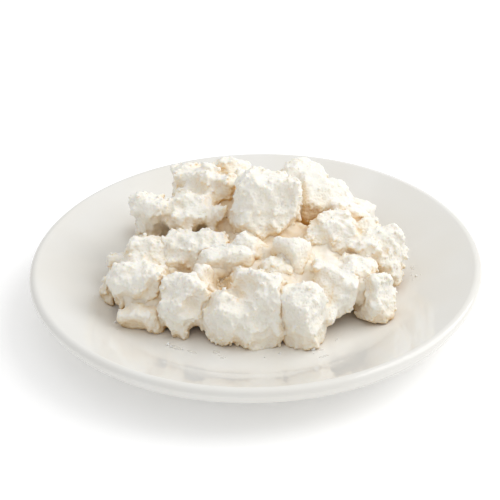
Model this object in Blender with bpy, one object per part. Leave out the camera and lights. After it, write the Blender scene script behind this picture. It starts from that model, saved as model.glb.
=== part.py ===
"""Goat cheese crumbled into a loose heap on a shallow, round, white plate with a raised rim.

Units are metres, +Z is up, and the origin is the centre of the plate's foot ring, at table height.
The heap is one solid: a low core with the lumps that show fused on, cut to sit just above the plate.
"""
import math
import random

import bmesh
import bpy
from mathutils import Euler, Matrix, Vector

MM = 0.001

# the plate, turned about Z
RIM_RADIUS = 90.0 * MM
RIM_HEIGHT = 20.0 * MM
LIP_RADIUS = 2.5 * MM           # rounding of the lip's top
LIP_FACE = 6.6 * MM             # height of the lip's outer face
LIP_TAPER = 2.0 * MM            # how far that face leans in towards its lower edge
LIP_EDGE_RADIUS = 0.9 * MM      # rounding of that lower edge
LIP_EDGE_END = math.radians(-72)    # where the rounding meets the sloping underside
WELL_HEIGHT = 8.0 * MM          # the flat of the plate above the table
WALL_SLOPE = math.radians(24.5)
WELL_BLEND = 26.0 * MM          # radius of the curve from the flat up into the wall
BASE_RADIUS = 58.0 * MM         # where the sloping underside meets the base
BASE_HEIGHT = 3.2 * MM          # the base's underside above the table
FOOT_RADIUS = 54.0 * MM         # outer edge of the foot ring
FOOT_WIDTH = 3.6 * MM
FOOT_DRAFT = 0.9 * MM           # how much the foot ring narrows on each side
FOOT_BEVEL = 0.54 * MM          # width of the bevel at its rubbed edge
FOOT_ROUND = 0.7 * MM           # height of that bevel
FOOT_ROOTS = (0.9, 0.8)         # heights of its outer and inner root, as shares of the base's
PLATE_SEGMENTS = 64
ARC_STEPS = {"blend": 6, "crest": 3, "lip": 5, "lip_edge": 3}
SMOOTH_BELOW = math.radians(40)

# the heap; the sizes and places in the tables below are in millimetres
GAP = 0.3 * MM                  # clearance between the cheese and the plate
CORE = ((-2, 2, 2), (92, 76, 36))
SEED = 17
BALL_DIVISIONS = 4
FULLNESS = 1.06                 # the lumps are so much larger than tabled, so that they press together
BLOCKINESS = (0.15, 0.55)       # drawn for each lump: 0 is a ball, 1 a box
BREAKS = 7                      # flat breaks on each lump
BREAK_DEPTH = (0.62, 0.9)       # their share of the way from the lump's middle to its skin
LOBE_SPACING = 8.0 * MM
SWING = (1.8, 0.13)             # rise and fall of the skin: in mm, and a share of the least side
PATTERN_REACH = 60.0            # each lump takes its skin from another place of the lobes' pattern
FACES_LEAST = 24
FACES_PER_SQUARE = 0.0195       # more faces for each square mm of (long + deep + high) squared

# the lumps that show: (right, back, up from the plate's flat), (long, deep, high), (lean, turn)
LUMPS = {
    "top": ((4.5, 11, 28), (28, 25, 31), (0, 10)),
    "top_back_left": ((-27, 40, 26), (13, 14, 15), (0, 0)),
    "ridge": ((-15, 29, 28.5), (18, 13, 17), (25, -10)),
    "ridge_left": ((-22, 36, 25.5), (20, 15, 19), (0, 0)),
    "ridge_low": ((-17, 31, 24), (16, 12, 16), (0, 0)),
    "top_back": ((-9, 45, 26), (19, 13, 13), (0, 0)),
    "hollow_face": ((-8, 36, 24), (14, 12, 16), (0, 0)),
    "back_right": ((21, 41, 23.5), (19, 16, 16), (0, 10)),
    "slab_right": ((30, 29, 20), (29, 20, 18), (25, 10)),
    "slab_tail": ((38, 22, 15), (20, 20, 18), (20, 0)),
    "left_shade": ((-40.5, 18.5, 19), (16, 17, 27), (-10, 0)),
    "grey_slope": ((-24, 23, 22), (18, 16, 16), (0, 0)),
    "left_bright": ((-27, 14, 25.5), (19, 16, 14), (0, 0)),
    "overhang": ((-27, -5, 16), (22, 17, 19), (0, 0)),
    "overhang_end": ((-17, -4.5, 21), (14, 12, 11), (15, 0)),
    "pebble": ((-15, 12, 24), (9, 10, 13), (0, 0)),
    "crumbly": ((28, 3, 19), (22, 20, 17), (0, 0)),
    "crumbly_side": ((41, 9, 15.5), (18, 18, 16), (0, 0)),
    "right_bright": ((50.5, 1, 12), (18, 22, 24), (0, 0)),
    "right_tip": ((57, 2, 12), (7, 8, 7), (0, 0)),
    "right_saddle": ((42, -2, 15), (16, 16, 16), (0, 0)),
    "round_right": ((36.5, -16, 12.5), (21, 18, 18), (0, 0)),
    "cut_face": ((15, -13.5, 15.5), (18, 17, 28), (0, 0)),
    "diagonal": ((-2, -9.5, 20), (16, 12, 12), (35, 0)),
    "pillow": ((7.5, -21, 18), (13, 11, 12), (20, 0)),
    "smooth_bend": ((-11.5, -13, 19.5), (23, 14, 12), (0, 0)),
    "left_big": ((-43.5, -5, 14.5), (21, 19, 19), (0, 0)),
    "left_saddle": ((-47, -12, 12), (19, 17, 19), (0, 0)),
    "left_front": ((-44, -18, 12), (25, 16, 17), (-10, 0)),
    "left_back_low": ((-52.5, 3, 7), (13, 16, 15), (0, 0)),
    "left_tip": ((-57.5, -8, 5.5), (9, 10, 13), (0, 0)),
    "two_lobes": ((-44, -28, 4.5), (19, 13, 10), (0, 0)),
    "front_left": ((-26.5, -30, 12.5), (21, 16, 20), (0, 0)),
    "front_left_heel": ((-30, -33.5, 5.5), (10, 10, 14), (0, 0)),
    "small_face": ((-20, -22, 16.5), (10, 12, 14), (0, 0)),
    "small_face_low": ((-16.5, -25.5, 12.5), (10, 9, 9), (0, 0)),
    "front_big": ((1, -35, 13), (21, 20, 25), (0, 0)),
    "front_hump": ((-12, -38, 9.5), (17, 16, 20), (0, 0)),
    "front_slope": ((-4.5, -29, 14.5), (21, 17, 16), (0, 0)),
    "front_foot": ((-2, -39, 4), (24, 15, 11), (0, 0)),
    "front_right": ((16.5, -39.5, 10.5), (19, 18, 24), (0, 0)),
    "spike": ((27, -38, 9), (6, 6, 6), (0, 0)),
    "shelf_right": ((30, -26, 13.5), (17, 18, 16), (15, 0)),
    "shelf_knob": ((24, -20, 19), (8, 8, 8), (0, 0)),
    "low_right": ((45.5, -25, 9.5), (16, 15, 19), (0, 0)),
}

# broken faces that show plainly: the (right, back, up) that each looks towards, and its share of the
# way from the lump's middle to its skin; every other lump draws its own
BROKEN_FACES = {
    "top": (((0, -7, 4), 0.74), ((1, 1, 9), 0.88), ((-9, 2, 2), 0.88), ((7, -6, -5), 0.85)),
    "left_bright": (((2, -5, 7), 0.7), ((-8, -3, 3), 0.8), ((6, -6, -2), 0.85)),
    "back_right": (((0, -3, 9), 0.85), ((8, -3, 5), 0.8)),
    "slab_right": (((1, -6, 7), 0.72), ((6, -1, 7), 0.8)),
    "overhang": (((-7, -2, -6), 0.85), ((7, -3, -6), 0.72), ((-5, -4, 7), 0.85)),
    "overhang_end": (((-1, -3, 8), 0.85), ((4, -7, -5), 0.7)),
    "round_right": (((-4, 2, 8), 0.8),),
    "cut_face": (((-8, -6, 1), 0.62), ((7, -4, 4), 0.78), ((1, 4, 9), 0.85)),
    "diagonal": (((4, -4, 8), 0.78), ((-7, -5, 4), 0.8), ((2, -8, -3), 0.8)),
    "pillow": (((0, 0, 1), 0.85),),
    "smooth_bend": (((0, -9, 2), 0.7), ((-2, 1, 9), 0.75), ((-9, -2, 3), 0.8)),
    "two_lobes": (((-4, -8, -1), 0.72), ((-4, -3, 8), 0.85), ((8, -5, 2), 0.8)),
    "left_big": (((1, -6, 8), 0.82), ((-8, 1, 4), 0.86)),
    "front_left": (((4, -8, 3), 0.8), ((-5, -4, 7), 0.82), ((8, 0, 5), 0.8)),
    "front_big": (((-5, -4, 8), 0.65), ((1, -8, 2), 0.78), ((9, -2, 1), 0.85)),
    "front_slope": (((-7, -4, 5), 0.6), ((-2, -7, 6), 0.72)),
    "front_hump": (((-5, -8, -1), 0.72), ((-6, -2, 7), 0.85), ((2, -3, 8), 0.85)),
    "front_right": (((-6, -7, 1), 0.66), ((8, -5, 2), 0.72), ((-1, -3, 9), 0.8)),
    "low_right": (((-7, -6, 3), 0.6), ((7, -5, 3), 0.66), ((0, 6, 6), 0.7)),
}

# plainer lumps, and the share of the rise and fall that they keep
CALM = {
    "top": 0.7, "slab_right": 0.6, "cut_face": 0.3, "pillow": 0.5, "smooth_bend": 0.4,
    "front_big": 0.7, "front_slope": 0.4, "front_right": 0.5, "shelf_right": 0.6, "low_right": 0.5,
}

# lumps under those, which show only in the gaps between them: place and size
FILLING = {
    "under_left": ((-34, -12, 7), (26, 24, 19)),
    "under_middle": ((-10, 1, 12), (32, 28, 21)),
    "under_front": ((7, -22, 9), (30, 19, 21)),
    "under_right": ((28, -9, 10), (34, 30, 24)),
    "under_top": ((5, 7, 17), (24, 18, 14)),
    "under_back": ((0, 30, 14), (40, 26, 28)),
    "under_far_left": ((-30, 26, 11), (26, 26, 26)),
    "under_far_right": ((32, 24, 9), (30, 26, 22)),
}

# the far side: rings of lumps about the heap's middle, spread and sized by drawing
HEAP_MIDDLE = (-2.0, 3.0)
HEAP_REACH = (58.0, 51.0)       # to the right and to the back
BACK_RINGS = (
    {"count": 6, "from": 28, "to": 146, "share": 0.92, "up": 7.5, "sizes": (15, 21)},
    {"count": 5, "from": 40, "to": 142, "share": 0.68, "up": 16.0, "sizes": (15, 22)},
)
ALONG_DRAW = (0.3, 0.7)         # of a lump's share of its ring
OUT_DRAW = (0.94, 1.04)
UP_DRAW = (0.85, 1.15)
LEAN_DRAW = (-20, 20)
TURN_DRAW = (0, 90)

PORCELAIN = {"colour": (0.86, 0.85, 0.83), "roughness": 0.08}
CHEESE = {"colour": (0.90, 0.87, 0.80), "roughness": 0.8}


def clear_scene():
    for old in list(bpy.data.objects):
        bpy.data.objects.remove(old, do_unlink=True)


def material(name, finish):
    made = bpy.data.materials.new(name)
    made.use_nodes = True
    shader = made.node_tree.nodes["Principled BSDF"]
    shader.inputs["Base Color"].default_value = (*finish["colour"], 1.0)
    shader.inputs["Roughness"].default_value = finish["roughness"]
    shader.inputs["Metallic"].default_value = 0.0
    return made


def new_object(name, bm, collection):
    mesh = bpy.data.meshes.new(name)
    bm.to_mesh(mesh)
    bm.free()
    made = bpy.data.objects.new(name, mesh)
    collection.objects.link(made)
    return made


def apply_modifiers(made):
    shown = made.evaluated_get(bpy.context.evaluated_depsgraph_get())
    mesh = bpy.data.meshes.new_from_object(shown)
    made.modifiers.clear()
    made.data = mesh


def arc(centre, radius, start, end, steps):
    """Points of an arc in the (r, z) plane, its angles in radians from +r towards +z."""
    points = []
    for i in range(steps + 1):
        angle = start + (end - start) * i / steps
        points.append((centre[0] + radius * math.cos(angle), centre[1] + radius * math.sin(angle)))
    return points


def upper_profile(lift=0.0):
    """The plate's upper side from the axis to the lip's crest, or the curve `lift` above it."""
    lip = (RIM_RADIUS - LIP_RADIUS, RIM_HEIGHT - LIP_RADIUS)
    wall_top = (lip[0] - LIP_RADIUS * math.sin(WALL_SLOPE), lip[1] + LIP_RADIUS * math.cos(WALL_SLOPE))
    blend_rise = WELL_BLEND * (1 - math.cos(WALL_SLOPE))
    wall_run = (wall_top[1] - WELL_HEIGHT - blend_rise) / math.tan(WALL_SLOPE)
    blend_run = WELL_BLEND * math.sin(WALL_SLOPE)
    blend_centre = (wall_top[0] - wall_run - blend_run, WELL_HEIGHT + WELL_BLEND)
    down = -math.pi / 2
    flat = [(0.0, WELL_HEIGHT + lift)]
    blend = arc(blend_centre, WELL_BLEND - lift, down, down + WALL_SLOPE, ARC_STEPS["blend"])
    crest = arc(lip, LIP_RADIUS + lift, math.pi / 2 + WALL_SLOPE, math.pi / 2, ARC_STEPS["crest"])
    return flat + blend + crest


def plate_profile():
    """The plate's whole outline, from the axis over the lip and back under the foot ring."""
    lip = (RIM_RADIUS - LIP_RADIUS, RIM_HEIGHT - LIP_RADIUS)
    edge = (RIM_RADIUS - LIP_TAPER - LIP_EDGE_RADIUS, RIM_HEIGHT - LIP_FACE + LIP_EDGE_RADIUS)
    lip_outside = arc(lip, LIP_RADIUS, math.pi / 2, 0.0, ARC_STEPS["lip"])[1:]
    lip_edge = arc(edge, LIP_EDGE_RADIUS, 0.0, LIP_EDGE_END, ARC_STEPS["lip_edge"])
    foot_inside = FOOT_RADIUS - FOOT_WIDTH
    underside = [
        (BASE_RADIUS, BASE_HEIGHT),
        (FOOT_RADIUS, BASE_HEIGHT * FOOT_ROOTS[0]),
        (FOOT_RADIUS - FOOT_BEVEL, FOOT_ROUND),
        (FOOT_RADIUS - FOOT_DRAFT, 0.0),
        (foot_inside + FOOT_DRAFT, 0.0),
        (foot_inside + FOOT_BEVEL, FOOT_ROUND),
        (foot_inside, BASE_HEIGHT * FOOT_ROOTS[1]),
        (foot_inside - FOOT_WIDTH, BASE_HEIGHT),
        (0.0, BASE_HEIGHT),
    ]
    return upper_profile() + lip_outside + lip_edge + underside


def turned(name, profile, collection):
    """A closed solid: an outline that starts and ends on the axis, turned about Z."""
    bm = bmesh.new()
    rings = []
    for r, z in profile:
        if r == 0.0:
            rings.append([bm.verts.new((0.0, 0.0, z))])
            continue
        angles = [2 * math.pi * i / PLATE_SEGMENTS for i in range(PLATE_SEGMENTS)]
        rings.append([bm.verts.new((r * math.cos(a), r * math.sin(a), z)) for a in angles])
    for one, other in zip(rings, rings[1:]):
        for i in range(PLATE_SEGMENTS):
            j = (i + 1) % PLATE_SEGMENTS
            if len(one) == 1:
                bm.faces.new((one[0], other[i], other[j]))
            elif len(other) == 1:
                bm.faces.new((one[j], one[i], other[0]))
            else:
                bm.faces.new((one[j], one[i], other[i], other[j]))
    bmesh.ops.recalc_face_normals(bm, faces=bm.faces)
    return new_object(name, bm, collection)


def make_plate(collection):
    plate = turned("plate", plate_profile(), collection)
    plate.data.materials.append(material("glazed_porcelain", PORCELAIN))
    plate.data.shade_smooth()
    plate.data.set_sharp_from_angle(angle=SMOOTH_BELOW)


def rounded_block(name, draw):
    """A ball drawn out towards a box, with flat breaks across it, about 1 across."""
    blocky = draw.uniform(*BLOCKINESS)
    breaks = [(Vector(way).normalized(), depth) for way, depth in BROKEN_FACES.get(name, ())]
    for _ in range(0 if breaks else BREAKS):
        normal = Vector([draw.gauss(0, 1) for _ in range(3)]).normalized()
        breaks.append((normal, draw.uniform(*BREAK_DEPTH)))
    bm = bmesh.new()
    bmesh.ops.create_icosphere(bm, subdivisions=BALL_DIVISIONS, radius=1.0)
    for vert in bm.verts:
        way = vert.co.normalized()
        reach = 1 - blocky + blocky / max(abs(part) for part in way)
        for normal, depth in breaks:
            if way.dot(normal) * reach > depth:
                reach = depth / way.dot(normal)
        vert.co = way * reach / 2
    return bm


def torn_lump(name, place, size, turn, collection):
    """A lump torn from the cheese: a block with flat breaks and a lobed skin."""
    draw = random.Random(f"{name} {SEED}")
    bm = rounded_block(name, draw)
    sample = Vector([draw.uniform(-PATTERN_REACH, PATTERN_REACH) for _ in range(3)])
    at_size = Matrix.LocRotScale(sample * MM, None, Vector(size) * MM)
    bmesh.ops.transform(bm, matrix=at_size, verts=bm.verts)
    made = new_object(name, bm, collection)
    skin = made.modifiers.new("lobed_skin", "DISPLACE")
    skin.texture = bpy.data.textures["lobes"]
    skin.texture_coords = "LOCAL"
    skin.mid_level = 0.5
    skin.strength = (SWING[0] + SWING[1] * min(size)) * CALM.get(name, 1.0) * MM
    apply_modifiers(made)
    fit(made, place, size, turn)
    few = made.modifiers.new("few_sides", "DECIMATE")
    few.ratio = (FACES_LEAST + FACES_PER_SQUARE * sum(size) ** 2) / len(made.data.polygons)
    return made


def fit(made, place, size, turn):
    """Brings a lump to its size, leans and turns it, and puts its middle in its place."""
    points = [vert.co for vert in made.data.vertices]
    low = Vector([min(point[k] for point in points) for k in range(3)])
    high = Vector([max(point[k] for point in points) for k in range(3)])
    grow = Vector([side * FULLNESS * MM / (high[k] - low[k]) for k, side in enumerate(size)])
    tilt = Euler((0, math.radians(turn[0]), math.radians(turn[1])))
    stand = Vector(place) * MM + Vector((0, 0, WELL_HEIGHT))
    made.data.transform(Matrix.LocRotScale(stand, tilt, grow) @ Matrix.Translation(-(low + high) / 2))


def far_side():
    """The lumps of the side that faces away, drawn by rule."""
    draw = random.Random(SEED)
    for ring, row in enumerate(BACK_RINGS):
        step = (row["to"] - row["from"]) / row["count"]
        for i in range(row["count"]):
            angle = math.radians(row["from"] + step * (i + draw.uniform(*ALONG_DRAW)))
            share = row["share"] * draw.uniform(*OUT_DRAW)
            right = HEAP_MIDDLE[0] + HEAP_REACH[0] * share * math.cos(angle)
            back = HEAP_MIDDLE[1] + HEAP_REACH[1] * share * math.sin(angle)
            up = row["up"] * draw.uniform(*UP_DRAW)
            size = [draw.uniform(*row["sizes"]) for _ in range(3)]
            turn = (draw.uniform(*LEAN_DRAW), draw.uniform(*TURN_DRAW))
            yield f"back_{ring}_{i}", (right, back, up), size, turn


def all_lumps():
    for name, (place, size, turn) in LUMPS.items():
        yield name, place, size, turn
    for name, (place, size) in FILLING.items():
        yield name, place, size, (0, 0)
    yield from far_side()


def boolean(made, operation, collection=None, cutter=None):
    change = made.modifiers.new(operation.lower(), "BOOLEAN")
    change.operation = operation
    if collection:
        change.operand_type = "COLLECTION"
        change.collection = collection
    else:
        change.object = cutter
    apply_modifiers(made)


def keep_outer_shell(made):
    """Fills sealed hollows and drops loose scraps: of the shells, the one with most faces stays."""
    bm = bmesh.new()
    bm.from_mesh(made.data)
    left = set(bm.faces)
    shells = []
    while left:
        queue = [left.pop()]
        shell = list(queue)
        while queue:
            for edge in queue.pop().edges:
                for face in edge.link_faces:
                    if face in left:
                        left.remove(face)
                        queue.append(face)
                        shell.append(face)
        shells.append(shell)
    shells.sort(key=len)
    for shell in shells[:-1]:
        bmesh.ops.delete(bm, geom=shell, context="FACES")
    bmesh.ops.triangulate(bm, faces=bm.faces)
    bm.to_mesh(made.data)
    bm.free()


def make_heap(collection):
    lobes = bpy.data.textures.new("lobes", "CLOUDS")
    lobes.noise_scale = LOBE_SPACING
    lobes.noise_depth = 1

    crumbs = bpy.data.collections.new("crumbs")
    collection.children.link(crumbs)
    for name, place, size, turn in all_lumps():
        torn_lump(name, place, size, turn, crumbs)
    heap = torn_lump("goat_cheese", *CORE, (0, 0), collection)
    heap.data.materials.append(material("goat_cheese", CHEESE))
    boolean(heap, "UNION", collection=crumbs)
    for crumb in list(crumbs.objects):
        bpy.data.objects.remove(crumb, do_unlink=True)
    bpy.data.collections.remove(crumbs)

    clearance = upper_profile(GAP) + [(RIM_RADIUS, -RIM_HEIGHT), (0.0, -RIM_HEIGHT)]
    seat = turned("seat_on_plate", clearance, collection)
    seat.hide_render = True
    seat.display_type = "WIRE"
    boolean(heap, "DIFFERENCE", cutter=seat)
    bpy.data.objects.remove(seat, do_unlink=True)
    keep_outer_shell(heap)


def main():
    clear_scene()
    collection = bpy.context.scene.collection
    make_plate(collection)
    make_heap(collection)


main()
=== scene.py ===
import math
import random

import bpy
from mathutils import Matrix, Vector


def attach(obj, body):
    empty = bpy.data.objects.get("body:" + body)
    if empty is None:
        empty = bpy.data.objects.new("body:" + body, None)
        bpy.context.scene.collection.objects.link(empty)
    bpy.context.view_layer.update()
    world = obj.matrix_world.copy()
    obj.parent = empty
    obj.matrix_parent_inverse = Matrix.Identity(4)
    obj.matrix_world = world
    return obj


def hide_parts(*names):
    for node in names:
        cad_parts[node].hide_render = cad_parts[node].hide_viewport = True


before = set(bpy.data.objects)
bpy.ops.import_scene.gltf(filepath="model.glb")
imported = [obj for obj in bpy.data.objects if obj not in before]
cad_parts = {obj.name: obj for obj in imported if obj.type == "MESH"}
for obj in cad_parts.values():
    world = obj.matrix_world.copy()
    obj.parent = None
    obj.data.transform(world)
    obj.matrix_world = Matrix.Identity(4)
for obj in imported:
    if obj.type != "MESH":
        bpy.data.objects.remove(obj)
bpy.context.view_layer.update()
mm = 0.001
noiseRange = (0.35, 0.65)       # nearly all of a noise texture's values lie between these


def toLinear(hexColour):
    # an sRGB hex colour as Blender's linear one, opaque
    parts = [int(hexColour[i:i + 2], 16) / 255 for i in (1, 3, 5)]
    linear = [p / 12.92 if p <= 0.04045 else ((p + 0.055) / 1.055) ** 2.4 for p in parts]
    return (*linear, 1.0)


def addNode(tree, kind, settings=None, sockets=None, links=None):
    # one node with its settings, its socket values and what feeds it
    node = tree.nodes.new(kind)
    for key, value in (settings or {}).items():
        setattr(node, key, value)
    for key, value in (sockets or {}).items():
        node.inputs[key].default_value = value
    for key, source in (links or {}).items():
        tree.links.new(source, node.inputs[key])
    return node


def newMaterial(name):
    made = bpy.data.materials.new(name)
    made.use_nodes = True
    return made, made.node_tree, made.node_tree.nodes["Principled BSDF"]


def patches(tree, where, spacing, low, high):
    # a soft cloudy pattern between two values, its patches so many mm apart
    noise = addNode(tree, "ShaderNodeTexNoise", None, {"Scale": 1 / (spacing * mm), "Detail": 2.0},
                    {"Vector": where.outputs["Object"]})
    spread = addNode(tree, "ShaderNodeMapRange", None,
                     {"From Min": noiseRange[0], "From Max": noiseRange[1],
                      "To Min": low, "To Max": high},
                     {"Value": noise.outputs["Fac"]})
    return spread.outputs["Result"]


def nothingSelected():
    if bpy.context.object and bpy.context.object.mode != "OBJECT":
        bpy.ops.object.mode_set(mode="OBJECT")
    bpy.ops.object.select_all(action="DESELECT")


def pick(piece, *others):
    # selects the pieces, and makes the first the active one
    nothingSelected()
    for each in (piece, *others):
        each.select_set(True)
    bpy.context.view_layer.objects.active = piece


def applyModifier(piece, kind, **settings):
    pick(piece)
    modifier = piece.modifiers.new(kind.lower(), kind)
    for key, value in settings.items():
        setattr(modifier, key, value)
    bpy.ops.object.modifier_apply(modifier=modifier.name)


def clouds(name, spacing, depth, hard=False):
    # a cloud pattern to raise a skin by, with so many finer layers on the first
    pattern = bpy.data.textures.new(name, "CLOUDS")
    pattern.noise_scale = spacing * mm
    pattern.noise_depth = depth
    pattern.noise_type = "HARD_NOISE" if hard else "SOFT_NOISE"


def triangles(piece):
    return sum(len(face.vertices) - 2 for face in piece.data.polygons)


def drawWay(draw):
    # a way that is as likely as any other, not yet 1 long
    return Vector([draw.gauss(0, 1) for _ in range(3)])


def drawThree(draw, low, high):
    return Vector([draw.uniform(low, high) for _ in range(3)])


def brokenBall(subdivisions, blockiness, breaks):
    # a ball 1 across, drawn so far towards a box and cut off at each break: (way, distance)
    nothingSelected()
    bpy.ops.mesh.primitive_ico_sphere_add(subdivisions=subdivisions, radius=0.5)
    ball = bpy.context.object
    applyModifier(ball, "CAST", cast_type="CUBOID", factor=blockiness)
    bpy.ops.object.mode_set(mode="EDIT")
    for way, distance in breaks:
        bpy.ops.mesh.select_all(action="SELECT")
        bpy.ops.mesh.bisect(plane_co=way * distance, plane_no=way, use_fill=True, clear_outer=True)
    bpy.ops.object.mode_set(mode="OBJECT")
    return ball


def remesh(piece, voxel):
    applyModifier(piece, "REMESH", mode="VOXEL", voxel_size=voxel * mm)


def closeGaps(piece, voxel, swell, shrink=0.0):
    # swollen until gaps under twice as wide close, then taken back, and shrunk further if asked
    remesh(piece, voxel)
    for step in (swell, -swell - shrink):
        applyModifier(piece, "DISPLACE", mid_level=0.0, strength=step * mm)
        remesh(piece, voxel)


# the cheese: lumps torn from a block, the same forms as in the CAD heap

lumpForm = {
    "wellHeight": 8.0,          # the flat of the plate above the table
    "seed": 17,
    "ballDivisions": 5, "voxel": 1.0,
    "blockiness": (0.15, 0.55),     # drawn for each lump: 0 is a ball, 1 a box
    "breaks": 7,                # flat breaks on each lump that has none of its own below
    "breakDepth": (0.62, 0.9),      # their share of the way from the lump's middle to its skin
    "fullness": 1.06,           # lumps are so much larger than listed, so that they press together
    "lobeSpacing": 8.0,
    "swing": (1.8, 0.13),       # rise and fall of the skin: in mm, and a share of the least side
    "patternReach": 60.0,       # each lump takes its skin from another place of the lobes' pattern
    "calm": {                   # share of the swing that plainer lumps keep
        "top": 0.7, "slab_right": 0.6, "cut_face": 0.3, "smooth_bend": 0.4, "front_slope": 0.4,
        "front_right": 0.5, "shelf_right": 0.6, "low_right": 0.5, "pillow": 0.5, "front_big": 0.7,
    },
}

# each lump: the mass it is fused into, (right, back, up from the plate's flat), (long, deep, high) and
# (lean, turn)
lumps = {
    "top": ("top", (4.5, 11, 28), (28, 25, 31), (0, 10)),
    "top_back_left": ("back", (-27, 40, 26), (13, 14, 15), (0, 0)),
    "ridge": ("back", (-15, 29, 28.5), (18, 13, 17), (25, -10)),
    "ridge_left": ("back", (-22, 36, 25.5), (20, 15, 19), (0, 0)),
    "ridge_low": ("back", (-17, 31, 24), (16, 12, 16), (0, 0)),
    "top_back": ("back", (-9, 45, 26), (19, 13, 13), (0, 0)),
    "hollow_face": ("back", (-8, 36, 24), (14, 12, 16), (0, 0)),
    "back_right": ("slab", (21, 41, 23.5), (19, 16, 16), (0, 10)),
    "slab_right": ("slab", (30, 29, 20), (29, 20, 18), (25, 10)),
    "slab_tail": ("slab", (38, 22, 15), (20, 20, 18), (20, 0)),
    "left_shade": ("back", (-40.5, 18.5, 19), (16, 17, 27), (-10, 0)),
    "grey_slope": ("back", (-24, 23, 22), (18, 16, 16), (0, 0)),
    "left_bright": ("back", (-27, 14, 25.5), (19, 16, 14), (0, 0)),
    "overhang": ("back", (-27, -5, 16), (22, 17, 19), (0, 0)),
    "overhang_end": ("back", (-17, -4.5, 21), (14, 12, 11), (15, 0)),
    "pebble": ("back", (-15, 12, 24), (9, 10, 13), (0, 0)),
    "crumbly": ("right", (28, 3, 19), (22, 20, 17), (0, 0)),
    "crumbly_side": ("right", (41, 9, 15.5), (18, 18, 16), (0, 0)),
    "right_bright": ("right", (50.5, 1, 12), (18, 22, 24), (0, 0)),
    "right_tip": ("right", (57, 2, 12), (7, 8, 7), (0, 0)),
    "right_saddle": ("right", (42, -2, 15), (16, 16, 16), (0, 0)),
    "round_right": ("round", (36.5, -16, 12.5), (21, 18, 18), (0, 0)),
    "cut_face": ("cut", (15, -13.5, 15.5), (18, 17, 28), (0, 0)),
    "diagonal": ("diagonal", (-2, -9.5, 20), (16, 12, 12), (35, 0)),
    "pillow": ("pillow", (7.5, -21, 18), (13, 11, 12), (20, 0)),
    "smooth_bend": ("middle", (-11.5, -13, 19.5), (23, 14, 12), (0, 0)),
    "left_big": ("left", (-43.5, -5, 14.5), (21, 19, 19), (0, 0)),
    "left_saddle": ("left", (-47, -12, 12), (19, 17, 19), (0, 0)),
    "left_front": ("left", (-44, -18, 12), (25, 16, 17), (-10, 0)),
    "left_back_low": ("left", (-52.5, 3, 7), (13, 16, 15), (0, 0)),
    "left_tip": ("left", (-57.5, -8, 5.5), (9, 10, 13), (0, 0)),
    "two_lobes": ("lobes", (-44, -28, 4.5), (19, 13, 10), (0, 0)),
    "front_left": ("frontLeft", (-26.5, -30, 12.5), (21, 16, 20), (0, 0)),
    "front_left_heel": ("frontLeft", (-30, -33.5, 5.5), (10, 10, 14), (0, 0)),
    "small_face": ("small", (-20, -22, 16.5), (10, 12, 14), (0, 0)),
    "small_face_low": ("small", (-16.5, -25.5, 12.5), (10, 9, 9), (0, 0)),
    "front_big": ("front", (1, -35, 13), (21, 20, 25), (0, 0)),
    "front_hump": ("front", (-12, -38, 9.5), (17, 16, 20), (0, 0)),
    "front_slope": ("front", (-4.5, -29, 14.5), (21, 17, 16), (0, 0)),
    "front_foot": ("front", (-2, -39, 4), (24, 15, 11), (0, 0)),
    "front_right": ("frontRight", (16.5, -39.5, 10.5), (19, 18, 24), (0, 0)),
    "spike": ("frontRight", (27, -38, 9), (6, 6, 6), (0, 0)),
    "shelf_right": ("frontRight", (30, -26, 13.5), (17, 18, 16), (15, 0)),
    "shelf_knob": ("frontRight", (24, -20, 19), (8, 8, 8), (0, 0)),
    "low_right": ("low", (45.5, -25, 9.5), (16, 15, 19), (0, 0)),
    "under_left": ("core", (-34, -12, 7), (26, 24, 19), (0, 0)),
    "under_middle": ("core", (-10, 1, 12), (32, 28, 21), (0, 0)),
    "under_front": ("core", (7, -22, 9), (30, 19, 21), (0, 0)),
    "under_right": ("core", (28, -9, 10), (34, 30, 24), (0, 0)),
    "under_top": ("core", (5, 7, 17), (24, 18, 14), (0, 0)),
    "under_back": ("core", (0, 30, 14), (40, 26, 28), (0, 0)),
    "under_far_left": ("core", (-30, 26, 11), (26, 26, 26), (0, 0)),
    "under_far_right": ("core", (32, 24, 9), (30, 26, 22), (0, 0)),
}

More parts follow.
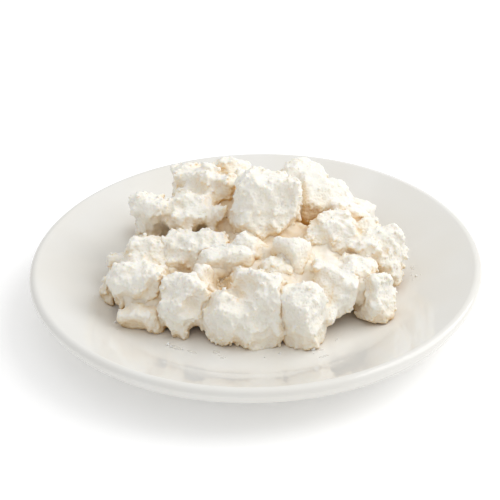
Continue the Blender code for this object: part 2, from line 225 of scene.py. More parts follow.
# broken faces: the (right, back, up) that each looks towards, and its share of the way from the
# lump's middle to its skin
brokenFaces = {
    "top": (((0, -7, 4), 0.74), ((1, 1, 9), 0.88), ((-9, 2, 2), 0.88), ((7, -6, -5), 0.85)),
    "left_bright": (((2, -5, 7), 0.7), ((-8, -3, 3), 0.8), ((6, -6, -2), 0.85)),
    "back_right": (((0, -3, 9), 0.85), ((8, -3, 5), 0.8)),
    "slab_right": (((1, -6, 7), 0.72), ((6, -1, 7), 0.8)),
    "overhang": (((-7, -2, -6), 0.85), ((7, -3, -6), 0.72), ((-5, -4, 7), 0.85)),
    "overhang_end": (((-1, -3, 8), 0.85), ((4, -7, -5), 0.7)),
    "round_right": (((-4, 2, 8), 0.8),),
    "cut_face": (((-8, -6, 1), 0.62), ((7, -4, 4), 0.78), ((1, 4, 9), 0.85)),
    "diagonal": (((4, -4, 8), 0.78), ((-7, -5, 4), 0.8), ((2, -8, -3), 0.8)),
    "pillow": (((0, 0, 1), 0.85),),
    "smooth_bend": (((0, -9, 2), 0.7), ((-2, 1, 9), 0.75), ((-9, -2, 3), 0.8)),
    "two_lobes": (((-4, -8, -1), 0.72), ((-4, -3, 8), 0.85), ((8, -5, 2), 0.8)),
    "left_big": (((1, -6, 8), 0.82), ((-8, 1, 4), 0.86)),
    "front_left": (((4, -8, 3), 0.8), ((-5, -4, 7), 0.82), ((8, 0, 5), 0.8)),
    "front_big": (((-5, -4, 8), 0.65), ((1, -8, 2), 0.78), ((9, -2, 1), 0.85)),
    "front_slope": (((-7, -4, 5), 0.6), ((-2, -7, 6), 0.72)),
    "front_hump": (((-5, -8, -1), 0.72), ((-6, -2, 7), 0.85), ((2, -3, 8), 0.85)),
    "front_right": (((-6, -7, 1), 0.66), ((8, -5, 2), 0.72), ((-1, -3, 9), 0.8)),
    "low_right": (((-7, -6, 3), 0.6), ((7, -5, 3), 0.66), ((0, 6, 6), 0.7)),
}

# the side that doesn't show: rings of lumps round the heap's middle, each ring with how many lumps it
# has, the angles it runs between, its share of the reach, its height and its lumps' sizes
farSide = {
    "middle": (-2.0, 3.0),
    "reach": (58.0, 51.0),      # to the right and to the back
    "alongStep": (0.3, 0.7),    # where a lump lies in its share of the ring
    "outBy": (0.94, 1.04),      # shares that its distance and its height are changed by
    "upBy": (0.85, 1.15),
    "lean": (-20, 20),
    "turn": (0, 90),
    "rings": (
        {"count": 6, "from": 28, "to": 146, "share": 0.92, "up": 7.5, "sizes": (15, 21)},
        {"count": 5, "from": 40, "to": 142, "share": 0.68, "up": 16.0, "sizes": (15, 22)},
    ),
}


def farSideLumps():
    draw = random.Random(lumpForm["seed"])
    for ring, row in enumerate(farSide["rings"]):
        step = (row["to"] - row["from"]) / row["count"]
        for i in range(row["count"]):
            angle = math.radians(row["from"] + step * (i + draw.uniform(*farSide["alongStep"])))
            share = row["share"] * draw.uniform(*farSide["outBy"])
            right = farSide["middle"][0] + farSide["reach"][0] * share * math.cos(angle)
            back = farSide["middle"][1] + farSide["reach"][1] * share * math.sin(angle)
            up = row["up"] * draw.uniform(*farSide["upBy"])
            size = [draw.uniform(*row["sizes"]) for _ in range(3)]
            turn = (draw.uniform(*farSide["lean"]), draw.uniform(*farSide["turn"]))
            yield f"back_{ring}_{i}", ("far", (right, back, up), size, turn)


def tornLump(name, place, size, turn):
    # a ball drawn towards a box, with its broken faces cut off and lobes over it
    draw = random.Random(f"{name} {lumpForm['seed']}")
    blockiness = draw.uniform(*lumpForm["blockiness"])
    breaks = [(Vector(way).normalized(), depth / 2) for way, depth in brokenFaces.get(name, ())]
    for _ in range(0 if breaks else lumpForm["breaks"]):
        breaks.append((drawWay(draw).normalized(), draw.uniform(*lumpForm["breakDepth"]) / 2))
    reach = lumpForm["patternReach"]
    shift = drawThree(draw, -reach, reach) * mm
    lump = brokenBall(lumpForm["ballDivisions"], blockiness, breaks)
    lump.name = name
    lump.scale = Vector(size) * mm
    lump.location = shift
    bpy.ops.object.transform_apply(location=True, rotation=True, scale=True)
    remesh(lump, lumpForm["voxel"])
    least, share = lumpForm["swing"]
    swing = (least + share * min(size)) * lumpForm["calm"].get(name, 1.0)
    applyModifier(lump, "DISPLACE", texture=bpy.data.textures["lobes"], texture_coords="LOCAL",
                  mid_level=0.5, strength=swing * mm)
    bpy.ops.object.origin_set(type="ORIGIN_GEOMETRY", center="BOUNDS")
    lump.dimensions = Vector(size) * lumpForm["fullness"] * mm
    lump.rotation_euler = (0, math.radians(turn[0]), math.radians(turn[1]))
    lump.location = Vector(place) * mm + Vector((0, 0, lumpForm["wellHeight"] * mm))
    bpy.ops.object.transform_apply(location=True, rotation=True, scale=True)
    return lump


# how lumps fuse into a mass and how its skin tears
skin = {
    "coarse": 0.6,              # voxels while the lumps fuse
    "bridge": 0.7,              # swelling that closes narrow gaps, taken back afterwards
    "dipTurns": 12,             # turns of smoothing in the dips where lumps meet
    "soften": 2,                # turns of smoothing all over
    "scoopMiddle": 0.27,        # the scoops' mean, so that they leave the size as it is
    "edgeReach": 5.0,           # how far the smoothing reaches that tells an edge from a face
    "edgeFull": 0.5,            # how far a full edge stands proud of its smoothed self
    "edgeLevels": 16,
}

# each relief: its spacing, its height and its finer layers; a height below zero makes sharp ridges
# with round dips between them
reliefs = {
    "scoop": (9.0, -3.2, 1),    # round hollows between sharp ridges
    "tear": (5.0, 1.2, 3),      # the torn relief all over
    "rip": (3.0, -1.6, 1),      # ragged ridges along the edges
    "rag": (1.4, -1.5, 1),      # finer ones
    "grain": (0.9, -0.4, 0),    # the grain all over
}

# torn bits that stick to the skin
bitForm = {
    "kinds": 8,                 # shapes to copy
    "ballDivisions": 2, "blockiness": 0.6,
    "breaks": 5,                # flat breaks on each
    "breakDepth": (0.2, 0.4),   # their distance from the middle, on a bit 1 across
    "perSquare": 0.12,          # bits for each square mm of skin
    "sizes": (0.5, 1.2),
    "mostlySmall": 1.7,         # a higher power leaves fewer large ones
    "stretch": (0.7, 1.2),
    "sunk": 0.3,                # least share of a bit that is under the skin
    "standOut": (0.2, 1.0),     # drawn for each bit: 0 has its middle in the skin, 1 is sunk as above
    "faceShare": 0.02,          # how often a bit sits on a face, against 1 on a full edge
    "aboveWell": 0.5,           # none is lower than this over the plate's flat
}

# each mass: voxels of its finished skin, and how rough it is
masses = {
    "top": (0.36, 0.8), "back": (0.4, 0.9), "right": (0.38, 1.0), "cut": (0.36, 0.4),
    "slab": (0.4, 0.6), "round": (0.36, 0.8), "middle": (0.36, 0.5),
    "diagonal": (0.36, 0.7), "pillow": (0.36, 0.7),
    "left": (0.38, 0.9), "lobes": (0.36, 0.6), "frontLeft": (0.36, 0.9), "small": (0.36, 0.5),
    "front": (0.36, 0.8), "frontRight": (0.36, 0.7), "low": (0.36, 0.8), "far": (0.66, 1.0),
}

# the cheese under them all: every lump in one, with its gaps closed, a little smaller
packed = {
    "voxel": 1.1,
    "close": 1.8,               # swelling that closes the gaps
    "shrink": 1.9,              # how far it ends below the skin of the masses
    "soften": 3,                # turns of smoothing
    "rough": 0.9,
}

# deep hollows between lumps: (right, back, up from the table) of the middle of each, how far it
# reaches and how deep it is pressed
hollows = {
    "way": (0.0, 0.5, -0.87),       # back and down
    "places": {
        "vHole": ((-11.5, -24.5, 26.5), 7.0, 9.0),
        "pocket": ((-33.0, -20.0, 27.0), 6.5, 11.0),
        "slope": ((-5.5, -33.5, 28.0), 7.5, 4.0),
        "overhangFoot": ((-28.5, -13.0, 27.0), 6.0, 4.0),
    },
}


def pressHollows(piece):
    way = Vector(hollows["way"]).normalized()
    for place, reach, depth in hollows["places"].values():
        centre = Vector(place) * mm
        for point in piece.data.vertices:
            near = (point.co - centre).length / (reach * mm)
            if near < 1:
                point.co += way * depth * mm * (1 - near ** 2) ** 2


def edgeSteps(piece, voxel, sign=1):
    # how far each point stands proud of a smoothed copy, from 0 on a face to 1 on a full edge; with a
    # sign of -1, how far it lies back in a dip
    pick(piece)
    bpy.ops.object.duplicate()
    smooth = bpy.context.object
    turns = round((skin["edgeReach"] / voxel) ** 2 / 4)     # n turns reach 2 * sqrt(n) voxels
    applyModifier(smooth, "SMOOTH", factor=0.5, iterations=turns)
    proud = [sign * (point.co - soft.co).dot(soft.normal) / (skin["edgeFull"] * mm)
             for point, soft in zip(piece.data.vertices, smooth.data.vertices)]
    bpy.data.objects.remove(smooth, do_unlink=True)
    return [max(0.0, min(1.0, p)) for p in proud]


def edgeGroup(piece, voxel, sign=1):
    # the same as the weights of a vertex group, in a few levels
    piece.vertex_groups.clear()
    group = piece.vertex_groups.new(name="edges")
    top = skin["edgeLevels"]
    levels = [[] for _ in range(top + 1)]
    for index, proud in enumerate(edgeSteps(piece, voxel, sign)):
        levels[int(proud * top)].append(index)
    for level, members in enumerate(levels):
        if level and members:
            group.add(members, level / top, "REPLACE")
    return group.name


def meshPiece(name, points, faces):
    mesh = bpy.data.meshes.new(name)
    mesh.from_pydata(points, [], faces)
    piece = bpy.data.objects.new(name, mesh)
    bpy.context.scene.collection.objects.link(piece)
    return piece


def takeShape(piece, shift=Vector()):
    # the points and faces of a piece that isn't needed any more
    points = [point.co - shift for point in piece.data.vertices]
    faces = [tuple(face.vertices) for face in piece.data.polygons]
    bpy.data.objects.remove(piece, do_unlink=True)
    return points, faces


def stamp(points, faces, shape, matrix):
    # one more copy of a shape
    first = len(points)
    points.extend(matrix @ point for point in shape[0])
    faces.extend(tuple(first + i for i in face) for face in shape[1])


def bitShapes(draw):
    # a few torn bits about 1 across, as points and faces, to be copied all over
    shapes = []
    for _ in range(bitForm["kinds"]):
        breaks = [(drawWay(draw).normalized(), draw.uniform(*bitForm["breakDepth"]))
                  for _ in range(bitForm["breaks"])]
        bit = brokenBall(bitForm["ballDivisions"], bitForm["blockiness"], breaks)
        shapes.append(takeShape(bit))
    return shapes


def addBits(mass, shapes, draw, rough):
    # torn bits partly sunk in the skin, most of them along its edges
    proud = edgeSteps(mass, skin["coarse"])
    chances = [bitForm["faceShare"] + p for p in proud]
    area = sum(face.area for face in mass.data.polygons) / mm ** 2
    count = int(area * bitForm["perSquare"] * rough)
    spots = draw.choices(range(len(chances)), weights=chances, k=count)
    points, faces = [], []
    small, large = bitForm["sizes"]
    for spot in spots:
        vertex = mass.data.vertices[spot]
        if vertex.co.z < (lumpForm["wellHeight"] + bitForm["aboveWell"]) * mm:
            continue
        size = small * (large / small) ** (draw.random() ** bitForm["mostlySmall"]) * mm
        stretch = drawThree(draw, *bitForm["stretch"]) * size
        spin = drawWay(draw).to_track_quat("Z", "Y")
        out = vertex.normal * size * (0.5 - bitForm["sunk"]) * draw.uniform(*bitForm["standOut"])
        matrix = Matrix.LocRotScale(vertex.co + out, spin, stretch)
        stamp(points, faces, draw.choice(shapes), matrix)
    pick(mass, meshPiece("bits", points, faces))
    bpy.ops.object.join()


def ruffle(piece, relief, rough, edges="", middle=0.5):
    applyModifier(piece, "DISPLACE", texture=bpy.data.textures[relief], texture_coords="LOCAL",
                  mid_level=middle, strength=reliefs[relief][1] * rough * mm, vertex_group=edges)


def fuse(name, members, shapes, draw, voxel, rough):
    # one mass: its lumps joined, their narrow gaps bridged, and its skin torn from coarse to fine
    pick(*members)
    if len(members) > 1:
        bpy.ops.object.join()
    mass = bpy.context.object
    mass.name = name
    closeGaps(mass, skin["coarse"], skin["bridge"])
    applyModifier(mass, "SMOOTH", factor=0.5, iterations=skin["dipTurns"],
                  vertex_group=edgeGroup(mass, skin["coarse"], -1))
    mass.vertex_groups.clear()
    applyModifier(mass, "SMOOTH", factor=0.5, iterations=skin["soften"])
    pressHollows(mass)
    ruffle(mass, "scoop", rough, middle=skin["scoopMiddle"])
    ruffle(mass, "tear", rough)
    addBits(mass, shapes, draw, rough)
    remesh(mass, voxel)
    ruffle(mass, "rip", rough, edgeGroup(mass, voxel))
    mass.vertex_groups.clear()
    remesh(mass, voxel)
    ruffle(mass, "rag", rough, edgeGroup(mass, voxel))
    ruffle(mass, "grain", 1.0)
    pick(mass)
    bpy.ops.object.shade_smooth()
    return mass


def packedCore(members):
    # a copy of all the lumps in one, with its gaps closed, and shrunk to lie under the masses
    pick(*members)
    bpy.ops.object.duplicate()
    bpy.ops.object.join()
    core = bpy.context.object
    core.name = "cheese_core"
    closeGaps(core, packed["voxel"], packed["close"], packed["shrink"])
    applyModifier(core, "SMOOTH", factor=0.5, iterations=packed["soften"])
    pressHollows(core)
    for relief in ("tear", "rip", "grain"):
        ruffle(core, relief, packed["rough"])
    pick(core)
    bpy.ops.object.shade_smooth()
    return core


def makeHeap(material, shapes, draw):
    clouds("lobes", lumpForm["lobeSpacing"], 1)
    for relief, (spacing, _, layers) in reliefs.items():
        clouds(relief, spacing, layers, hard=True)
    groups = {}
    rows = list(lumps.items()) + list(farSideLumps())
    for name, (mass, place, size, turn) in rows:
        groups.setdefault(mass, []).append(tornLump(name, place, size, turn))
    print("lumps torn:", len(rows))
    pieces = [packedCore([lump for members in groups.values() for lump in members])]
    for lump in groups.pop("core"):
        bpy.data.objects.remove(lump, do_unlink=True)
    for mass, members in groups.items():
        pieces.append(fuse("cheese_" + mass, members, shapes, draw, *masses[mass]))
    total = 0
    for piece in pieces:
        piece.data.materials.clear()
        piece.data.materials.append(material)
        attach(piece, "root")
        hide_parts("goat_cheese")
        total += triangles(piece)
        print("mass", piece.name, triangles(piece))
    print("cheese triangles:", total)


# fresh goat cheese: dense white curd, matte and faintly moist; light sinks a little way in, and
# the clefts between crumbs are painted a tan shade, darker still in the deep ones
curd = {
    "face": "#f8f4eb",
    # painted cleft shade: the curd is tinted this tan where ambient occlusion finds it closed in,
    # standing in for the shade and warm bounced light in its clefts
    "cleftShade": "#eccf9c", "cleftShadeBelow": 0.84,     # starts where less than this share of the view is open
    # painted deep shade: a darker tan still, where ambient occlusion finds the curd most closed in
    "deep": "#cf9f55", "deepShadeBelow": 0.3,
    "cleftShadeReach": 12.0,         # how far that view out of a cleft is followed
    "roughness": (0.52, 0.72), "moistSpacing": 4.0,
    "sinkShare": 0.5,           # share of the light that sinks in
    "sink": 1.6, "sinkColours": (1.0, 0.88, 0.66),      # how far, and shares of it for each colour
    "shine": 0.3,
    "bumpSpacing": 0.55, "bumpHeight": 0.05,
}


def freshCheese():
    made, tree, shader = newMaterial("freshCurd")
    where = addNode(tree, "ShaderNodeTexCoord")
    # painted shade: the ambient occlusion below darkens and warms the curd's colour in its clefts, and
    # more in the deep ones
    openness = addNode(tree, "ShaderNodeAmbientOcclusion", {"samples": 8},
                       {"Distance": curd["cleftShadeReach"] * mm})
    cleftShade = addNode(tree, "ShaderNodeMapRange", None,
                    {"From Min": 0.0, "From Max": curd["cleftShadeBelow"], "To Min": 1.0, "To Max": 0.0},
                    {"Value": openness.outputs["AO"]})
    tan = addNode(tree, "ShaderNodeMix", {"data_type": "RGBA"},
                  {6: toLinear(curd["face"]), 7: toLinear(curd["cleftShade"])},
                  {0: cleftShade.outputs["Result"]})
    # painted deep shade: the mask of the most closed-in places
    deep = addNode(tree, "ShaderNodeMapRange", None,
                   {"From Min": 0.0, "From Max": curd["deepShadeBelow"], "To Min": 1.0, "To Max": 0.0},
                   {"Value": openness.outputs["AO"]})
    colour = addNode(tree, "ShaderNodeMix", {"data_type": "RGBA"}, {7: toLinear(curd["deep"])},
                     {0: deep.outputs["Result"], 6: tan.outputs[2]})
    grain = addNode(tree, "ShaderNodeTexNoise", None,
                    {"Scale": 1 / (curd["bumpSpacing"] * mm), "Detail": 3.0},
                    {"Vector": where.outputs["Object"]})
    relief = addNode(tree, "ShaderNodeBump", None,
                     {"Strength": 1.0, "Distance": curd["bumpHeight"] * mm},
                     {"Height": grain.outputs["Fac"]})
    tree.links.new(colour.outputs[2], shader.inputs["Base Color"])
    tree.links.new(relief.outputs["Normal"], shader.inputs["Normal"])
    tree.links.new(patches(tree, where, curd["moistSpacing"], *curd["roughness"]),
                   shader.inputs["Roughness"])
    shader.inputs["Subsurface Weight"].default_value = curd["sinkShare"]
    shader.inputs["Subsurface Radius"].default_value = curd["sinkColours"]
    shader.inputs["Subsurface Scale"].default_value = curd["sink"] * mm
    shader.inputs["Specular IOR Level"].default_value = curd["shine"]
    return made


# the plate: one outline turned about its axis, the same as in the CAD plate
plateForm = {
    "rimRadius": 90.0, "rimHeight": 20.0,
    "lipRadius": 2.5,           # rounding of the lip's top
    "lipFace": 6.6,             # from the rim's height down to the lip's lower edge
    "lipTaper": 2.0,            # how far that face leans in towards its lower edge
    "lipEdgeRadius": 0.9,       # rounding of that edge
    "lipEdgeEnd": -72,          # where the rounding meets the sloping underside
    "wellHeight": 8.0, "wallSlope": 24.5,
    "wellBlend": 26.0,          # radius of the curve from the flat up into the wall
    "baseRadius": 58.0, "baseHeight": 3.2,
    "footRadius": 54.0, "footWidth": 3.6,
    "footDraft": 0.9,           # how much the foot ring narrows on each side
    "footBevel": 0.54, "footRound": 0.7,    # width and height of the bevel at its rubbed edge
    "footRoots": (0.9, 0.8),    # heights of its outer and inner root, as shares of the base's
    "turnSteps": 256, "blendSteps": 16, "lipSteps": 18, "edgeSteps": 8,
    "smoothBelow": 40, "weld": 0.001,
}


def arc(centre, radius, start, end, steps):
    # points of an arc, as (radius, height); an angle of 0 points outwards and one of 90 up
    points = []
    for i in range(steps + 1):
        angle = math.radians(start + (end - start) * i / steps)
        points.append((centre[0] + radius * math.cos(angle), centre[1] + radius * math.sin(angle)))
    return points


def plateCentres():
    # the middles of the lip's arc and of the curve from the well to the wall, as (radius, height)
    p = plateForm
    slope = math.radians(p["wallSlope"])
    lip = (p["rimRadius"] - p["lipRadius"], p["rimHeight"] - p["lipRadius"])
    wallTop = (lip[0] - p["lipRadius"] * math.sin(slope), lip[1] + p["lipRadius"] * math.cos(slope))
    blendRise = p["wellBlend"] * (1 - math.cos(slope))
    wallRun = (wallTop[1] - p["wellHeight"] - blendRise) / math.tan(slope)
    blend = (wallTop[0] - wallRun - p["wellBlend"] * math.sin(slope), p["wellHeight"] + p["wellBlend"])
    return lip, blend


def glazeHeight(radius):
    # how high the plate's upper face is, in mm, at a distance from its middle
    p = plateForm
    slope = math.radians(p["wallSlope"])
    blend = plateCentres()[1]
    across = min(max(0.0, radius - blend[0]), p["wellBlend"] * math.sin(slope))
    curve = blend[1] - math.sqrt(p["wellBlend"] ** 2 - across ** 2)
    return curve + max(0.0, radius - blend[0] - across) * math.tan(slope)


def plateProfile():
    # the outline from the axis over the well, wall and lip, back under the foot ring to the axis
    p = plateForm
    lip, blend = plateCentres()
    edge = (p["rimRadius"] - p["lipTaper"] - p["lipEdgeRadius"],
            p["rimHeight"] - p["lipFace"] + p["lipEdgeRadius"])
    upper = [(0.0, p["wellHeight"])]
    upper += arc(blend, p["wellBlend"], -90, -90 + p["wallSlope"], p["blendSteps"])
    upper += arc(lip, p["lipRadius"], 90 + p["wallSlope"], 0, p["lipSteps"])
    upper += arc(edge, p["lipEdgeRadius"], 0, p["lipEdgeEnd"], p["edgeSteps"])
    footInside = p["footRadius"] - p["footWidth"]
    under = [
        (p["baseRadius"], p["baseHeight"]),
        (p["footRadius"], p["baseHeight"] * p["footRoots"][0]),
        (p["footRadius"] - p["footBevel"], p["footRound"]),
        (p["footRadius"] - p["footDraft"], 0.0),
        (footInside + p["footDraft"], 0.0),
        (footInside + p["footBevel"], p["footRound"]),
        (footInside, p["baseHeight"] * p["footRoots"][1]),
        (footInside - p["footWidth"], p["baseHeight"]),
        (0.0, p["baseHeight"]),
    ]
    return upper + under


def makePlate(material):
    # a square is merged to one point, and the point is drawn along the outline and spun
    nothingSelected()
    bpy.ops.mesh.primitive_plane_add(size=1 * mm)
    plate = bpy.context.object
    plate.name = "porcelain_plate"
    bpy.ops.object.mode_set(mode="EDIT")
    bpy.ops.mesh.merge(type="CENTER")
    points = [Vector((r, 0, z)) * mm for r, z in plateProfile()]
    bpy.ops.transform.translate(value=points[0])
    for start, end in zip(points, points[1:]):
        bpy.ops.mesh.extrude_region_move(TRANSFORM_OT_translate={"value": end - start})
    bpy.ops.mesh.select_all(action="SELECT")
    bpy.ops.mesh.spin(steps=plateForm["turnSteps"], angle=2 * math.pi,
                      center=(0, 0, 0), axis=(0, 0, 1))
    bpy.ops.mesh.select_all(action="SELECT")
    bpy.ops.mesh.remove_doubles(threshold=plateForm["weld"] * mm)
    bpy.ops.mesh.normals_make_consistent(inside=False)
    bpy.ops.object.mode_set(mode="OBJECT")
    bpy.ops.object.shade_smooth_by_angle(angle=math.radians(plateForm["smoothBelow"]))
    plate.data.materials.append(material)
    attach(plate, "root")
    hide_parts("plate")
    print("plate turned:", triangles(plate))


# white porcelain under a clear fired glaze: glossy, faintly wavy, a little warm; the foot ring stood
# on the kiln shelf, so its face is bare and matte
glaze = {
    "tones": ("#ebeae6", "#e9e7e1"), "toneSpacing": 30.0,
    "roughness": (0.04, 0.07), "glossSpacing": 12.0,
    "waveSpacing": 9.0, "waveHeight": 0.02,
    "bareFoot": "#d8d1c3", "bareRoughness": 0.75,
    "bareTo": (0.3, 0.6),       # above the table: all bare below the first, all glazed over the second
}


def glazedPorcelain():
    made, tree, shader = newMaterial("glazedPorcelain")
    where = addNode(tree, "ShaderNodeTexCoord")
    tone = addNode(tree, "ShaderNodeMix", {"data_type": "RGBA"},
                   {6: toLinear(glaze["tones"][0]), 7: toLinear(glaze["tones"][1])},
                   {0: patches(tree, where, glaze["toneSpacing"], 0.0, 1.0)})
    place = addNode(tree, "ShaderNodeSeparateXYZ", None, None, {"Vector": where.outputs["Object"]})
    bare = addNode(tree, "ShaderNodeMapRange", None,
                   {"From Min": glaze["bareTo"][0] * mm, "From Max": glaze["bareTo"][1] * mm,
                    "To Min": 1.0, "To Max": 0.0}, {"Value": place.outputs["Z"]})
    colour = addNode(tree, "ShaderNodeMix", {"data_type": "RGBA"}, {7: toLinear(glaze["bareFoot"])},
                     {0: bare.outputs["Result"], 6: tone.outputs[2]})
    rough = addNode(tree, "ShaderNodeMix", {"data_type": "FLOAT"}, {3: glaze["bareRoughness"]},
                    {0: bare.outputs["Result"],
                     2: patches(tree, where, glaze["glossSpacing"], *glaze["roughness"])})
    waves = addNode(tree, "ShaderNodeBump", None,
                    {"Strength": 1.0, "Distance": glaze["waveHeight"] * mm},
                    {"Height": patches(tree, where, glaze["waveSpacing"], 0.0, 1.0)})
    tree.links.new(colour.outputs[2], shader.inputs["Base Color"])
    tree.links.new(rough.outputs[0], shader.inputs["Roughness"])
    tree.links.new(waves.outputs["Normal"], shader.inputs["Normal"])
    return made


# where the heap left something on the glaze
leavings = {
    "seed": 8,
    "lowLumps": 14,             # only lumps with their middle lower than this over the flat shed some
    "sideways": 0.35,           # how far to either side they lie, in radians
    "outFrom": 1.0,             # the least distance from the lump they fell from
    "strays": 0.7,              # how fast they get fewer away from it, for each mm
    "clear": 0.5,               # the least distance from any other lump
}


def besideHeap(draw):
    # a place on the glaze just outside the low lumps, which no lump covers
    low = [row for row in lumps.values() if row[1][2] < leavings["lowLumps"] and row[0] != "core"]
    while True:
        _, (right, back, _), size, _ = draw.choice(low)
        angle = math.atan2(back, right) + draw.gauss(0, leavings["sideways"])
        out = max(size[:2]) / 2 + leavings["outFrom"] + draw.expovariate(leavings["strays"])
        right, back = right + out * math.cos(angle), back + out * math.sin(angle)
        if all(math.hypot(right - x, back - y) > max(long, deep) / 2 + leavings["clear"]
               for _, (x, y, _), (long, deep, _), _ in lumps.values()):
            return right, back


# loose specks of the same curd, too small to have clefts; a shown one is (right, back, size)
speckForm = {
    "shown": ((-34.4, -41.3, 1.5), (-33.2, -42.6, 1.0), (-28.6, -44.9, 0.9), (20.8, -47.0, 1.9)),
    "count": 18,                # more of them, drawn round the heap
    "sizes": (0.3, 1.1),
    "mostlySmall": 1.6,         # a higher power leaves fewer large ones
    "stretch": (0.7, 1.3),
    "lift": 0.3,                # height of its middle over the glaze, as a share of its size
    "tone": "#fffdf8", "toneSpacing": 0.4,
    "sink": 0.8, "sinkColours": (1.0, 0.95, 0.85),
}


def looseCurd():
    made, tree, shader = newMaterial("looseCurd")
    where = addNode(tree, "ShaderNodeTexCoord")
    colour = addNode(tree, "ShaderNodeMix", {"data_type": "RGBA"},
                     {6: toLinear(curd["face"]), 7: toLinear(speckForm["tone"])},
                     {0: patches(tree, where, speckForm["toneSpacing"], 0.0, 1.0)})
    tree.links.new(colour.outputs[2], shader.inputs["Base Color"])
    shader.inputs["Roughness"].default_value = curd["roughness"][1]
    shader.inputs["Subsurface Weight"].default_value = 1.0
    shader.inputs["Subsurface Radius"].default_value = speckForm["sinkColours"]
    shader.inputs["Subsurface Scale"].default_value = speckForm["sink"] * mm
    return made


def makeSpecks(material, shapes):
    draw = random.Random(leavings["seed"])
    small, large = speckForm["sizes"]
    rows = list(speckForm["shown"])
    for _ in range(speckForm["count"]):
        right, back = besideHeap(draw)
        size = small * (large / small) ** (draw.random() ** speckForm["mostlySmall"])
        rows.append((right, back, size))
    points, faces = [], []
    for right, back, size in rows:
        up = glazeHeight(math.hypot(right, back)) + size * speckForm["lift"]
        spin = drawWay(draw).to_track_quat("Z", "Y")
        stretch = drawThree(draw, *speckForm["stretch"]) * size * mm
        place = Vector((right, back, up)) * mm
        stamp(points, faces, draw.choice(shapes), Matrix.LocRotScale(place, spin, stretch))
    specks = meshPiece("cheese_specks", points, faces)
    specks.data.materials.append(material)
    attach(specks, "root")
    print("specks:", len(rows), triangles(specks))


# thin smears of milky whey, wet and glossy, and a little see-through; a shown one is (right, back,
# length, width)
whey = {
    "shown": ((-31.5, -43.2, 4.6, 1.7), (-25.4, -46.2, 4.2, 1.2), (24.6, -51.8, 4.0, 1.1)),
    "count": 5,                 # more of them, drawn round the heap
    "lengths": (1.2, 2.8),
    "widths": (0.35, 0.7),      # shares of the length
    "height": 0.15,
    "dropSpacing": 0.45, "dropSwing": 0.7,      # its uneven edge, on a drop 1 across
    "dropReach": 8,             # each drop takes its edge from another place of the pattern
    "tone": "#fbf9f2", "roughness": 0.12, "wet": 0.6,
    "cover": (0.2, 0.6), "coverSpacing": 0.8,
}


def smearShape(draw):
    # a low drop with an uneven edge, about 1 across and 1 high, as points and faces
    nothingSelected()
    bpy.ops.mesh.primitive_ico_sphere_add(subdivisions=4, radius=0.5)
    smear = bpy.context.object
    shift = drawThree(draw, -1, 1) * whey["dropReach"]
    smear.location = shift
    bpy.ops.object.transform_apply(location=True, rotation=False, scale=False)
    applyModifier(smear, "DISPLACE", texture=bpy.data.textures["drops"], texture_coords="LOCAL",
                  mid_level=0.5, strength=whey["dropSwing"])
    return takeShape(smear, shift)


def makeSmears(material):
    clouds("drops", whey["dropSpacing"] / mm, 2)
    draw = random.Random(leavings["seed"] + 1)
    rows = list(whey["shown"])
    for _ in range(whey["count"]):
        length = draw.uniform(*whey["lengths"])
        rows.append((*besideHeap(draw), length, length * draw.uniform(*whey["widths"])))
    points, faces = [], []
    for right, back, length, width in rows:
        # it lies along the heap's foot, half sunk, and slopes as the glaze under it
        radius = math.hypot(right, back)
        slope = math.atan(glazeHeight(radius + 0.5) - glazeHeight(radius - 0.5))
        turn = Matrix.Rotation(math.atan2(back, right), 3, "Z") @ Matrix.Rotation(-slope, 3, "Y")
        stretch = Vector((width, length, whey["height"] * 2)) * mm
        place = Vector((right, back, glazeHeight(radius))) * mm
        matrix = Matrix.LocRotScale(place, turn.to_quaternion(), stretch)
        stamp(points, faces, smearShape(draw), matrix)
    smears = meshPiece("whey_smears", points, faces)
    smears.data.materials.append(material)
    pick(smears)
    bpy.ops.object.shade_smooth()
    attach(smears, "root")
    print("smears:", len(rows), triangles(smears))


def milkyWhey():
    made, tree, shader = newMaterial("milkyWhey")
    where = addNode(tree, "ShaderNodeTexCoord")
    tree.links.new(patches(tree, where, whey["coverSpacing"], *whey["cover"]), shader.inputs["Alpha"])
    shader.inputs["Base Color"].default_value = toLinear(whey["tone"])
    shader.inputs["Roughness"].default_value = whey["roughness"]
    shader.inputs["Coat Weight"].default_value = whey["wet"]
    return made


# a white paper sweep that glows a little, under two soft lamps, and the camera; in metres and watts
studio = {
    "floor": "#fbfbfb", "floorSize": 3, "floorRoughness": 0.9, "floorGlow": 0.17,
    "sidePlace": (0.83, 0.2, 0.82), "sideSize": 1.0, "sidePower": 7.8,
    "overheadPlace": (0.0, 0.0, 1.3), "overheadSize": 1.4, "overheadPower": 3.0,
    "skyPower": 0.6,
    "cameraTilt": 31.4, "cameraRoll": 1.514, "cameraDistance": 0.7, "clipStart": 0.01,
    "sensor": 36.0,             # mm
    "pixelsPerRadian": 1754.4, "pictureSide": 500,      # the photograph's
    "aimOff": (0.002128, -0.005784),    # the plate's middle from the picture's, to the right and up
    "aimHeight": 0.0175,
}


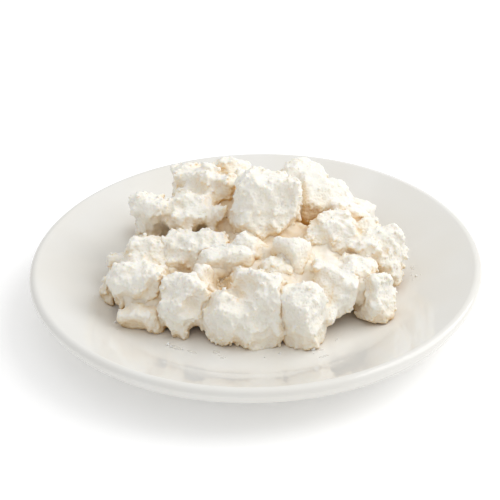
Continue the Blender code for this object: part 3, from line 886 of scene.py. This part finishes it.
def setStudio():
    nothingSelected()
    bpy.ops.mesh.primitive_plane_add(size=studio["floorSize"])
    floor = bpy.context.object
    floor.name = "floor"
    made, tree, shader = newMaterial("paperSweep")
    shader.inputs["Base Color"].default_value = toLinear(studio["floor"])
    shader.inputs["Emission Color"].default_value = toLinear(studio["floor"])
    shader.inputs["Emission Strength"].default_value = studio["floorGlow"]
    shader.inputs["Roughness"].default_value = studio["floorRoughness"]
    floor.data.materials.append(made)

    for lamp in ("side", "overhead"):
        bpy.ops.object.light_add(type="AREA", location=studio[lamp + "Place"])
        soft = bpy.context.object
        soft.name = lamp
        soft.data.size = studio[lamp + "Size"]
        soft.data.energy = studio[lamp + "Power"]
        towards = Vector((0, 0, studio["aimHeight"])) - soft.location
        soft.rotation_euler = towards.to_track_quat("-Z", "Y").to_euler()

    world = bpy.data.worlds.new("softBox")
    bpy.context.scene.world = world
    world.use_nodes = True
    sky = world.node_tree.nodes["Background"]
    sky.inputs["Color"].default_value = (1, 1, 1, 1)
    sky.inputs["Strength"].default_value = studio["skyPower"]
    bpy.context.scene.view_settings.view_transform = "Standard"


def setCamera():
    tilt = math.radians(studio["cameraTilt"])
    roll = math.radians(studio["cameraRoll"])
    right = Vector((1, 0, 0))
    up = Vector((0, math.sin(tilt), math.cos(tilt)))
    forward = Vector((0, math.cos(tilt), -math.sin(tilt)))
    place = Vector((0, 0, studio["aimHeight"])) - forward * studio["cameraDistance"]
    place -= right * studio["aimOff"][0] + up * studio["aimOff"][1]
    nothingSelected()
    bpy.ops.object.camera_add()
    camera = bpy.context.object
    camera.data.sensor_width = studio["sensor"]
    camera.data.lens = studio["pixelsPerRadian"] / studio["pictureSide"] * studio["sensor"]
    camera.data.clip_start = studio["clipStart"]
    sideways = right * math.cos(roll) - up * math.sin(roll)
    upwards = right * math.sin(roll) + up * math.cos(roll)
    turn = Matrix((sideways, upwards, -forward)).transposed().to_4x4()
    camera.matrix_world = Matrix.Translation(place) @ turn
    bpy.context.scene.camera = camera


makePlate(glazedPorcelain())
draw = random.Random(lumpForm["seed"])
shapes = bitShapes(draw)
makeHeap(freshCheese(), shapes, draw)
makeSpecks(looseCurd(), shapes)
makeSmears(milkyWhey())
setStudio()
setCamera()
